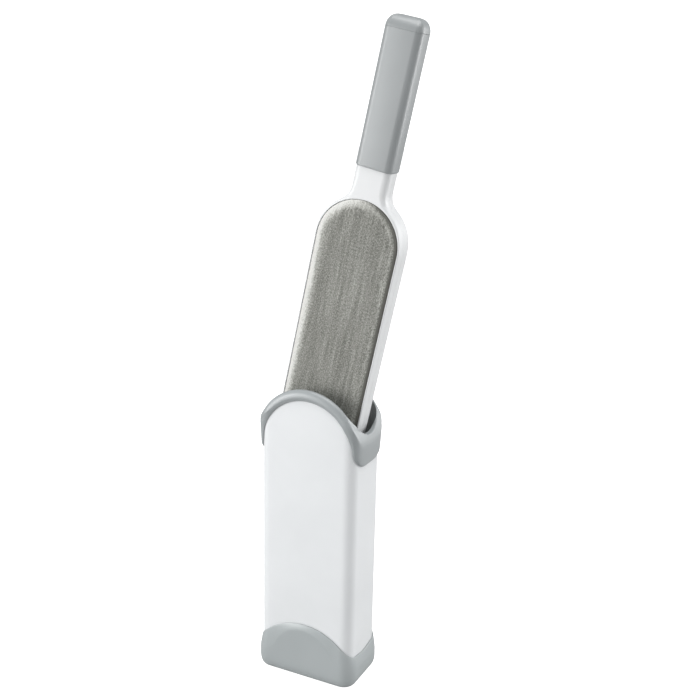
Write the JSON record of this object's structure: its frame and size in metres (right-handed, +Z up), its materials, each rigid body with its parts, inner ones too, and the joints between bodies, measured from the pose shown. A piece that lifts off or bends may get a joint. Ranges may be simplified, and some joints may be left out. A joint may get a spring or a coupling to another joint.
{
  "type": "pet hair lint brush with self-cleaning base",
  "caption": "Double-sided fabric lint brush with a slim grip, half drawn out of an upright arch-mouthed sleeve base that combs its pads clean.",
  "frame": {"origin": "centre of the base's standing rim, on the surface it stands on", "axes": "+Z up, +X along the base's width towards the side the brush leans to, -Y is the front broad face"},
  "size_m": [0.118, 0.0534, 0.5023],
  "materials": {
    "sleeve_white": "satin moulded",
    "paddle_white": "satin moulded",
    "carrier_white": "matte moulded",
    "collar_grey": "soft matte",
    "boot_grey": "soft matte",
    "door_grey": "matte moulded",
    "grip_grey": "soft matte",
    "nap_fabric": "short one-way nap",
    "foam": "closed-cell foam",
    "board_plastic": "matte",
    "bright_steel": "zinc plated"
  },
  "bodies": {
    "base": {"sleeve": "sleeve_white", "collar": "collar_grey", "boot": "boot_grey", "door_hinge_pin": "bright_steel", "boot_screws": "bright_steel", "wiper_carrier_front": "carrier_white", "wiper_carrier_back": "carrier_white", "wiper_foam_front": "foam", "wiper_foam_back": "foam", "wiper_fabric_front": "nap_fabric", "wiper_fabric_back": "nap_fabric"},
    "door": {"bottom_door": "door_grey"},
    "brush": {"paddle_front_shell": "paddle_white", "paddle_back_shell": "paddle_white", "pad_board_front": "board_plastic", "pad_board_back": "board_plastic", "pad_foam_front": "foam", "pad_foam_back": "foam", "pad_fabric_front": "nap_fabric", "pad_fabric_back": "nap_fabric", "paddle_screws": "bright_steel", "grip": "grip_grey", "grip_end_cap": "grip_grey"}
  },
  "joints": [
    {"name": "brush_draw", "type": "hinge", "parent": "base", "child": "brush", "pos_m": [0.736, 0, 0.128], "axis": [0, 1, 0], "range_deg": [-11.9, 6]},
    {"name": "door_swing", "type": "hinge", "parent": "base", "child": "door", "pos_m": [-0.0315, 0, 0.0036], "axis": [0, 1, 0], "range_deg": [0, 95]}
  ]
}
